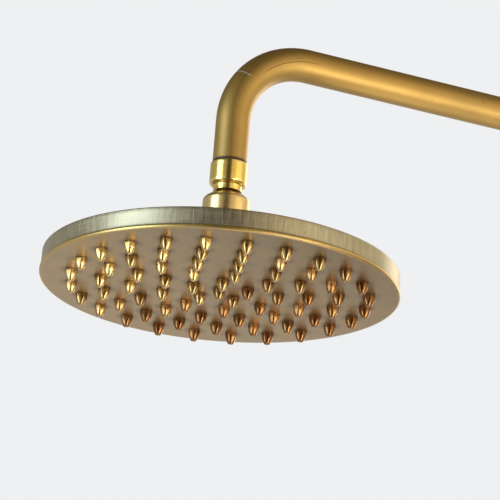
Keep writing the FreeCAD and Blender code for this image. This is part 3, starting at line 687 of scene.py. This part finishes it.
def makeNozzles(s):
    chance = random.Random(11)
    shape = oneNozzle(s)
    for ring, (radius, count) in enumerate(nozzleRings(s)):
        node, name = "nozzle_centre", "nozzleCentre"
        if ring:
            node, name = f"nozzle_ring_{ring}", f"nozzleRing{ring}"
        bm = bmesh.new()
        bm.verts.layers.float_vector.new("grain")
        bm.verts.layers.float.new("edge")
        bm.verts.layers.float.new("tone")
        for number in range(count):
            single = bmesh.new()
            single.from_mesh(shape)
            bmesh.ops.remove_doubles(single, verts=single.verts, dist=1e-6)
            markBrass(single, 0.6)
            tone = single.verts.layers.float.new("tone")
            angle = 2 * math.pi * number / count + headTurn
            place = Vector((math.sin(angle), -math.cos(angle), 0)) * radius / s["copperReach"]
            shade = min(s["toneMost"], s["toneMiddle"] + place.dot(Vector((*s["copperWay"], 0))))
            shade += chance.uniform(*s["toneVary"])
            edge = single.verts.layers.float["edge"]
            for vert in single.verts:
                vert[tone] = shade
                # painted shade at the root, where the nozzle meets the face
                if vert.co.z > -s["rootHeight"] * mm:
                    vert[edge] = s["rootShade"]
            spin = Matrix.Rotation(chance.uniform(0, math.pi / 3), 4, "Z")
            lean = Matrix.Rotation(math.radians(chance.uniform(-s["lean"], s["lean"])), 4, "X")
            around = Matrix.Rotation(2 * math.pi * number / count, 4, "Z")
            where = around @ Matrix.Translation((0, -radius * mm, 0)) @ lean @ spin
            bmesh.ops.transform(single, matrix=where, verts=single.verts)
            work = bpy.data.meshes.new("ringWork")
            single.to_mesh(work)
            single.free()
            bm.from_mesh(work)
            bpy.data.meshes.remove(work)
        finishPiece(name, bm, "nozzle", node, "head", onHead, 32)


makeNozzles(nozzleSet)
print("nozzles placed:", 1 + sum(nozzleSet["counts"]))


# ball joint

collar = {
    "foot": 28.0, "radius": 13.6, "footEase": 0.7, "top": 55.4, "shoulder": 3.0, "dome": 8.0,
    "mouth": 9.0, "lip": 51.9, "cavity": 11.08, "centre": 45.4, "threadTop": 42.9, "thread": 12.0,
}


def makeBallCollar(s):
    lipRadius = math.sqrt(s["cavity"] ** 2 - (s["lip"] - s["centre"]) ** 2)
    lowRadius = math.sqrt(s["cavity"] ** 2 - (s["threadTop"] - s["centre"]) ** 2)
    bm = turned([
        (s["thread"], s["foot"]), (s["radius"], s["foot"], s["footEase"]),
        (s["radius"], s["top"] - s["shoulder"], 1.3),
        ("arc", s["dome"], True, (s["mouth"] + 0.5, s["top"]), 10),
        (s["mouth"] + 0.5, s["top"]), (s["mouth"], s["top"] - 0.3, 0.2),
        (lipRadius, s["lip"]),
        ("arc", s["cavity"], False, (lowRadius, s["threadTop"]), 12),
        (lowRadius, s["threadTop"]), (s["thread"], s["threadTop"]),
    ], around=128, longest=1.0)
    markBrass(bm)
    finishPiece("ballCollar", bm, "satin", "ball_collar", "head", onHead)


stem = {
    "ball": 10.0, "centre": 45.4, "bore": 4.8, "neck": 5.8, "ringBase": 57.9, "ringDrop": 0.5,
    "ring": 8.3, "ringHollow": 0.12, "cove": 2.4, "coveShade": 0.3,
    "collarBase": 61.4, "collar": 10.7, "collarRound": 2.1,
    "collarTop": 75.0, "taper": 0.7, "socket": 8.63, "socketFloor": 62.5,
}


def makeBallStem(s):
    foot = s["centre"] - math.sqrt(s["ball"] ** 2 - s["bore"] ** 2)
    neckFoot = s["centre"] + math.sqrt(s["ball"] ** 2 - s["neck"] ** 2)
    bm = turned([
        (s["bore"], foot),
        ("arc", s["ball"], True, (s["neck"], neckFoot), 26),
        (s["neck"], neckFoot), (s["neck"], s["ringBase"] - s["ringDrop"]),
        ("arc", s["cove"], False, (s["ring"], s["ringBase"]), 8),
        (s["ring"], s["ringBase"], 0.15),
        (s["ring"] - s["ringHollow"], (s["ringBase"] + s["collarBase"]) / 2, 1.2),
        (s["ring"] + 0.1, s["collarBase"]),
        (s["collar"], s["collarBase"], s["collarRound"]),
        (s["collar"], s["collarTop"], s["taper"]),
        (s["socket"], s["collarTop"]), (s["socket"], s["socketFloor"]), (s["bore"], s["socketFloor"]),
    ], around=128, longest=1.0)
    markBrass(bm)
    edge = bm.verts.layers.float["edge"]
    # painted shade: the neck and the cove under the ring are marked dark
    for vert in bm.verts:
        if neckFoot * mm < vert.co.z < (s["ringBase"] + 0.02) * mm:
            vert[edge] = min(vert[edge], s["coveShade"])
    finishPiece("ballStem", bm, "turned", "ball_stem", "arm", at(faceCentre))


makeBallCollar(collar)
makeBallStem(stem)
print("ball joint turned")


# overhead arm

armTube = {
    "radius": 9.8, "wall": 1.17, "ease": 0.25,
    "reach": 380.0, "height": 220.0, "riserEnd": 116.0, "headEnd": 149.3, "bend": 44.0,
    "around": 112, "cuts": 260, "darkEnd": 0.4,
    "endRing": 0.7, "endReach": (1.0, 2.2),    # the last ring of cuts goes close to the end
}


def bentPoint(point, along, s):
    # moves a point of the straight tube to its place on the bent line;
    # x is across, and y is how far the point lies to the inside of the bends
    up = (s["height"] - s["riserEnd"] - s["bend"]) * mm
    bend = s["bend"] * mm
    quarter = bend * math.pi / 2
    level = (s["reach"] - 2 * s["bend"]) * mm
    if along <= up:
        return Vector((point.x, point.y, along))
    if along <= up + quarter:
        angle = (along - up) / bend
        out = bend - point.y
        return Vector((point.x, bend - out * math.cos(angle), up + out * math.sin(angle)))
    if along <= up + quarter + level:
        return Vector((point.x, bend + along - up - quarter, up + bend - point.y))
    if along <= up + 2 * quarter + level:
        angle = (along - up - quarter - level) / bend
        out = bend - point.y
        return Vector((point.x, bend + level + out * math.sin(angle), up + out * math.cos(angle)))
    down = along - up - 2 * quarter - level
    return Vector((point.x, 2 * bend + level - point.y, up - down))


def makeArm(s):
    bend = s["bend"]
    length = ((s["height"] - s["riserEnd"] - bend) + math.pi * bend + (s["reach"] - 2 * bend)
              + (s["height"] - s["headEnd"] - bend))
    inner = s["radius"] - s["wall"]
    bm = turned([
        (s["radius"], 0, s["ease"]), (s["radius"], length, s["ease"]), (inner, length), (inner, 0),
    ], around=s["around"], longest=1000)
    walls = [edge for edge in bm.edges if edge.calc_length() > length * 0.5 * mm]
    bmesh.ops.subdivide_edges(bm, edges=walls, cuts=s["cuts"])
    near, far = s["endReach"]
    for vert in bm.verts:
        if (length - far) * mm < vert.co.z < (length - near) * mm:
            vert.co.z = (length - s["endRing"]) * mm
    markBrass(bm)
    edge = bm.verts.layers.float["edge"]
    for vert in bm.verts:
        if length * mm - vert.co.z < s["darkEnd"] * mm:
            vert[edge] = 0.0      # the joint above the collar is dark
    base = Vector((riserAxis.x, riserAxis.y, s["riserEnd"] * mm))
    for vert in bm.verts:
        across = bentPoint(vert.co, vert.co.z, s)
        vert.co = base + Vector((across.x, -across.y, across.z))
    bmesh.ops.recalc_face_normals(bm, faces=bm.faces)
    finishPiece("overheadArm", bm, "tube", "overhead_arm", "arm")


makeArm(armTube)
print("arm bent")


# riser, socket and nut

riser = {"radius": 9.8, "wall": 1.17, "foot": -540.0, "top": 82.8, "ease": 0.25}


def makeRiser(s):
    inner = s["radius"] - s["wall"]
    bm = turned([
        (s["radius"], s["foot"], s["ease"]), (s["radius"], s["top"], s["ease"]),
        (inner, s["top"]), (inner, s["foot"]),
    ], around=96, longest=16)
    markBrass(bm)
    finishPiece("riserTube", bm, "tube", "riser_tube", "column", onRiser)


socket = {
    "low": 66.8, "radius": 13.6, "round": 2.0, "shoulder": 103.8, "thread": 12.0, "top": 113.3,
    "bore": 8.25, "web": 85.3, "floor": 82.8, "tube": 9.82, "waterway": 4.8,
    "bandLow": 71.5, "bandHigh": 73.1, "bandDepth": 0.45,
}
swivel = {
    "low": 103.9, "radius": 13.6, "top": 119.4, "shoulder": 3.0, "ease": 0.6,
    "mouth": 10.1, "room": 116.1, "thread": 12.0,
}


def turnedGroove(radius, low, high, depth):
    # a shallow decorative groove cut round a turned piece
    return [(radius, low, 0.15), (radius - depth, low + depth * 0.6, 0.15),
            (radius - depth, high - depth * 0.6, 0.15), (radius, high, 0.15)]


def makeSocket(s):
    bm = turned([
        (s["tube"], s["low"]), (s["radius"], s["low"], s["round"]),
        *turnedGroove(s["radius"], s["bandLow"], s["bandHigh"], s["bandDepth"]),
        (s["radius"], s["shoulder"], 0.5), (s["thread"], s["shoulder"]),
        (s["thread"], s["top"]), (s["bore"], s["top"]), (s["bore"], s["web"]), (s["waterway"], s["web"]),
        (s["waterway"], s["floor"]), (s["tube"], s["floor"]),
    ], around=112, longest=1.2)
    markBrass(bm)
    finishPiece("riserSocket", bm, "turned", "riser_socket", "column", onRiser)


def makeSwivelNut(s):
    bm = turned([
        (s["thread"], s["low"]), (s["radius"], s["low"], s["ease"]), (s["radius"], s["top"], s["shoulder"]),
        (s["mouth"], s["top"], 0.3), (s["mouth"], s["room"]), (s["thread"], s["room"]),
    ], around=112, longest=1.0)
    markBrass(bm)
    finishPiece("swivelNut", bm, "turned", "swivel_nut", "column", onRiser)


makeRiser(riser)
makeSocket(socket)
makeSwivelNut(swivel)
print("riser and swivel made")


# wall bracket

clamp = {
    "bore": 9.85, "radius": 14.5, "half": 12.0, "round": 2.0,
    "boss": 8.5, "bossFoot": 10.5, "bossEnd": 19.0, "bossRound": 0.8,
    "tenon": 4.0, "tenonDepth": 5.0, "grub": 2.5,
}


def makeClamp(s):
    ring = turned([
        (s["bore"], -s["half"], 0.3), (s["radius"], -s["half"], s["round"]),
        (s["radius"], s["half"], s["round"]), (s["bore"], s["half"], 0.3),
    ], around=96, longest=1.5)
    base = newObject("clampWork", ring)
    boss = turned([
        (0, s["bossFoot"]), (s["boss"], s["bossFoot"]),
        (s["boss"], s["bossEnd"], s["bossRound"]), (s["tenon"], s["bossEnd"], 0.2),
        (s["tenon"], s["bossEnd"] - s["tenonDepth"]), (0, s["bossEnd"] - s["tenonDepth"]),
    ], around=64, longest=1.5, closed=False)
    toBack = Matrix.Rotation(math.radians(-90), 3, "X")
    bmesh.ops.rotate(boss, verts=boss.verts, cent=(0, 0, 0), matrix=toBack)
    combine(base, boss, "UNION")
    for length, radius, turn, axis in ((30.0, s["bore"], 0, "X"), (9.0, s["grub"], 90, "Y")):
        drill = straightBar(64, radius, radius, length)
        bmesh.ops.rotate(drill, verts=drill.verts, cent=(0, 0, 0),
                         matrix=Matrix.Rotation(math.radians(turn), 3, axis))
        if turn:
            bmesh.ops.translate(drill, verts=drill.verts, vec=(s["radius"] * mm, 0, 0))
        combine(base, drill, "DIFFERENCE")
    bm = reopened(base)
    finishPiece("bracketClamp", bm, "turned", "bracket_clamp", "column", onRiser, 30)


bracketStem = {
    "foot": -6.0, "tenon": 4.0, "tenonLength": 5.0, "radius": 7.0, "front": 35.0,
    "bead": 9.0, "beadHalf": 2.0, "cove": 0.9,
}
wallFlange = {
    "radius": 32.0, "thickness": 5.0, "ease": 1.2, "boss": 12.0, "bossTop": 11.0, "tenon": 4.0, "floor": 6.0,
    "stepRadius": 28.6, "stepDepth": 0.5,
    "holes": 3, "pitch": 23.0, "hole": 2.6, "sink": 4.9,
}


def makeBracketStem(s):
    middle = (s["tenonLength"] + s["front"]) / 2
    low, high = middle - s["beadHalf"], middle + s["beadHalf"]
    bm = turned([
        (0, 0), (s["tenon"], 0), (s["tenon"], s["tenonLength"]), (s["radius"], s["tenonLength"], 0.2),
        (s["radius"], low - s["cove"], 0.3), (s["radius"] + 0.7, low, 0.2),
        (s["bead"], low, 1.2), (s["bead"], high, 1.2), (s["radius"] + 0.7, high, 0.2),
        (s["radius"], high + s["cove"], 0.3), (s["radius"], s["front"], 0.2), (s["tenon"], s["front"]),
        (s["tenon"], s["front"] + s["tenonLength"]), (0, s["front"] + s["tenonLength"]),
    ], around=80, longest=1.0, closed=False)
    markBrass(bm)
    finishPiece("bracketStem", bm, "turned", "bracket_stem", "column", toWall(s["foot"] * mm))


def makeFlange(s):
    bm = turned([
        (0, 0), (s["radius"], 0, 0.3), (s["radius"], s["thickness"], s["ease"]),
        (s["stepRadius"], s["thickness"]), (s["stepRadius"] - 0.5, s["thickness"] - s["stepDepth"] * 0.5),
        (s["boss"], s["thickness"], 0.8), (s["boss"], s["bossTop"], s["ease"]),
        (s["tenon"], s["bossTop"], 0.2), (s["tenon"], s["floor"]), (0, s["floor"]),
    ], around=128, longest=1.5, closed=False)
    base = newObject("flangeWork", bm)
    for number in range(s["holes"]):
        angle = 2 * math.pi * number / s["holes"] + math.pi / 2
        depth = s["sink"] - s["hole"]
        drill = turned([
            (0, -1), (s["hole"], -1), (s["hole"], s["thickness"] - depth),
            (s["sink"], s["thickness"]), (s["sink"], s["thickness"] + 3), (0, s["thickness"] + 3),
        ], around=48, longest=20, closed=False)
        bmesh.ops.translate(drill, verts=drill.verts,
                            vec=(s["pitch"] * mm * math.cos(angle), s["pitch"] * mm * math.sin(angle), 0))
        combine(base, drill, "DIFFERENCE")
    bm = reopened(base)
    finishPiece("bracketFlange", bm, "satin", "bracket_flange", "column", toWall(0.0), 30)


makeClamp(clamp)
makeBracketStem(bracketStem)
makeFlange(wallFlange)
print("wall bracket made")


# foot union

footTail = {
    "low": -543.0, "bore": 4.8, "flange": 11.2, "flangeTop": -540.0, "neck": 8.63, "top": -526.0,
}
unionNut = {
    "low": -556.5, "high": -536.5, "flat": 15.0, "fall": 1.2, "mouth": 10.1,
    "thread": 12.06, "crest": 11.6, "rootFlat": 0.12, "turns": 6, "threadTop": 11.5,
    "relief": 12.6, "ledge": 16.6,
}


def makeTail(s):
    bm = turned([
        (s["bore"], s["low"], 0.3), (s["flange"], s["low"], 0.2), (s["flange"], s["flangeTop"], 0.2),
        (s["neck"], s["flangeTop"]), (s["neck"], s["top"], 0.3), (s["bore"], s["top"]),
    ], around=80, longest=1.5)
    markBrass(bm)
    finishPiece("riserTail", bm, "turned", "riser_tail", "column", onRiser)


def makeUnionNut(s):
    # a hexagon bar, turned down at both ends and bored, with the thread's rings inside
    height = s["high"] - s["low"]
    corner = s["flat"] / math.cos(math.radians(30))
    bm = straightBar(6, corner, corner, height)
    bmesh.ops.translate(bm, verts=bm.verts, vec=(0, 0, height / 2 * mm))
    base = newObject("nutWork", bm)
    outside = turned([
        (0, 0), (s["flat"], 0), (s["flat"] + s["fall"] * 1.92, s["fall"]),
        (s["flat"] + s["fall"] * 1.92, height - s["fall"]), (s["flat"], height), (0, height),
    ], around=96, longest=40, closed=False)
    combine(base, outside, "INTERSECT")
    pitch = s["threadTop"] / s["turns"]
    teeth = []
    for turn in range(s["turns"]):
        low = turn * pitch
        teeth += [(s["thread"], low + s["rootFlat"]), (s["crest"], low + pitch * 0.5),
                  (s["thread"], low + pitch - s["rootFlat"])]
    bore = turned([
        (0, -1), (s["thread"] + 1.0, -1), (s["thread"], 0.0), *teeth, (s["relief"], s["threadTop"] + 0.4),
        (s["relief"], s["ledge"]), (s["mouth"], s["ledge"]), (s["mouth"], height + 1), (0, height + 1),
    ], around=72, longest=40, closed=False)
    combine(base, bore, "DIFFERENCE")
    bm = reopened(base)
    finishPiece("unionNut", bm, "turned", "union_nut", "foot_nut",
                at(Vector((riserAxis.x, riserAxis.y, s["low"] * mm))), 30)


makeTail(footTail)
makeUnionNut(unionNut)
print("foot union made")


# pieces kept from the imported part

keptNodes = {
    "arm_nipple": "turned", "swivel_spigot": "turned", "bracket_screw": "steel",
    "cover_gasket": "rubber", "seat_washer": "rubber", "inlet_washer": "rubber", "union_washer": "rubber",
    "spigot_seal_upper": "rubber", "spigot_seal_lower": "rubber",
    "upper_liner": "plastic", "lower_liner": "plastic", "flow_restrictor": "plastic",
}
for node, finish in keptNodes.items():
    mesh = frame["nodes"][node].data
    mesh.materials.clear()
    mesh.materials.append(materials[finish])
print("kept nodes finished")


# floor, world and lights

studio = {
    "floorHeight": -1.90, "floorSize": 16.0, "floorTone": (0.84, 0.81, 0.76),
    "floorMottle": (0.76, 0.75, 0.73), "floorLift": 0.22,
    "backdrop": (0.86, 0.87, 0.88), "fillWorld": 0.62, "ceiling": (0.10, 0.08, 0.045),
    "coolSide": (0.50, 0.48, 0.44), "warmSide": (0.80, 0.67, 0.47), "farCorner": (3.4, 3.1, 2.6),
    # soft boxes, placed by angle from the camera's side of the head
    "window": {"angle": -57.0, "distance": 2.0, "height": -0.10, "width": 1.20, "tall": 2.3,
               "radiance": 3.9, "tone": (0.74, 0.90, 1.0)},
    "warm": {"angle": 66.0, "distance": 2.2, "height": 0.25, "width": 1.6, "tall": 1.5,
             "radiance": 0.76, "tone": (1.0, 0.88, 0.66)},
    "bounce": {"angle": 46.0, "distance": 0.95, "height": -0.48, "width": 0.60, "tall": 0.62,
               "radiance": 6.0, "tone": (1.0, 0.90, 0.68), "spread": 130.0},
    "under": {"angle": 118.0, "distance": 0.30, "height": -0.72, "width": 0.55, "tall": 0.55,
              "radiance": 2.2, "tone": (1.0, 0.88, 0.68), "spread": 100.0},
    "flag": {"angle": 0.0, "distance": 0.85, "height": -0.05, "width": 0.44, "tall": 1.45,
             "tone": (0.10, 0.065, 0.035), "weave": (0.04, 0.03, 0.02)},
}


def aroundHead(s):
    # a place round the head, by angle from the camera's side, in degrees
    a = math.radians(s["angle"])
    level = levelBack * math.cos(a) + levelRight * math.sin(a)
    return faceCentre + level * s["distance"] + Vector((0, 0, s["height"]))


def softBox(name, s):
    light = bpy.data.lights.new(name, "AREA")
    light.shape = "RECTANGLE"
    light.size = s["width"]
    light.size_y = s["tall"]
    light.energy = s["radiance"] * math.pi * s["width"] * s["tall"]
    light.color = s["tone"]
    if "spread" in s:     # a honeycomb keeps the light off what stands beside it, just as bright in front
        half = math.radians(s["spread"] / 2)
        light.spread = 2 * half
        light.energy *= 1 - half / math.tan(half)
    lamp = bpy.data.objects.new(name, light)
    lamp.location = aroundHead(s)
    lamp.rotation_mode = "QUATERNION"
    lamp.rotation_quaternion = (faceCentre - lamp.location).to_track_quat("-Z", "Y")
    lamp.visible_camera = False
    scene.collection.objects.link(lamp)


def makeFloor(s):
    bm = bmesh.new()
    bmesh.ops.create_grid(bm, x_segments=8, y_segments=8, size=s["floorSize"] / 2)
    bmesh.ops.translate(bm, verts=bm.verts, vec=(0, 0, s["floorHeight"]))
    floor = newObject("floor", bm)
    material, build, socket = newMaterial("floorPaint")
    mottle = build.between(build.noise(build.add("TexCoord")["Object"], 3.0, 3.0), 0.3, 0.7, 0.0, 0.2)
    # paler to the eye only, and open from underneath
    build.feedAll(socket, {
        "Base Color": build.mix(mottle, (*s["floorTone"], 1), (*s["floorMottle"], 1)), "Roughness": 0.9,
        "Emission Color": (*s["floorTone"], 1),
        "Emission Strength": build.times(build.add("LightPath")["Is Camera Ray"], s["floorLift"]),
        "Alpha": build.math("SUBTRACT", 1.0, build.add("NewGeometry")["Backfacing"]),
    })
    floor.data.materials.append(material)


def makeDarkCard(s):
    # stands on the camera's side of the head and shows only in reflections
    bm = bmesh.new()
    bmesh.ops.create_grid(bm, x_segments=1, y_segments=1, size=0.5)
    bmesh.ops.scale(bm, vec=(s["width"], s["tall"], 1), verts=bm.verts)
    centre = aroundHead(s)
    inward = faceCentre + Vector((0, 0, s["height"])) - centre
    turn = inward.to_track_quat("Z", "Y").to_matrix().to_4x4()
    bmesh.ops.transform(bm, matrix=Matrix.Translation(centre) @ turn, verts=bm.verts)
    card = newObject("darkCard", bm)
    material, build, socket = newMaterial("cardCloth")
    weave = build.noise(build.add("TexCoord")["Object"], 60.0, 2.0)
    build.feedAll(socket, {
        "Base Color": build.mix(weave, (*s["tone"], 1), (*s["weave"], 1)), "Roughness": 1.0})
    card.data.materials.append(material)
    card.visible_camera = False
    card.visible_diffuse = False
    card.visible_shadow = False


def makeWorld(s):
    world = bpy.data.worlds.new("studio")
    world.use_nodes = True
    world.node_tree.nodes.clear()
    build = NodeBuilder(world.node_tree)
    x, y, up = build.split(build.add("TexCoord")["Generated"])
    across, behind = (build.math("ADD", build.times(x, way.x), build.times(y, way.y))
                      for way in (levelRight, -levelBack))
    # what is seen is pale; the brass mirrors a cool side, a warm side and a dark ceiling
    around = build.mix(build.between(across, -0.35, 0.55), (*s["coolSide"], 1), (*s["warmSide"], 1))
    corner = build.times(build.between(behind, 0.40, 0.85), build.between(across, 0.25, 0.6))
    around = build.mix(corner, around, (*s["farCorner"], 1))
    height = build.math("MULTIPLY_ADD", build.math("MAXIMUM", across, 0.0), -0.6, up)
    mirrored = build.mix(build.between(height, 0.15, 0.72), around, (*s["ceiling"], 1))
    paths = build.add("LightPath")
    glossy = build.math("MAXIMUM", paths["Is Glossy Ray"], paths["Is Transmission Ray"], clamp=True)
    fill = s["fillWorld"]
    colour = build.mix(glossy, (fill, fill, fill, 1), mirrored)
    colour = build.mix(paths["Is Camera Ray"], colour, (*s["backdrop"], 1))
    build.add("OutputWorld", {0: build.add("Background", {"Color": colour})[0]})
    scene.world = world


for lampName in ("window", "warm", "bounce", "under"):
    softBox(lampName, studio[lampName])
makeFloor(studio)
makeDarkCard(studio["flag"])
makeWorld(studio)
scene.view_settings.view_transform = "Standard"
print("studio lit")
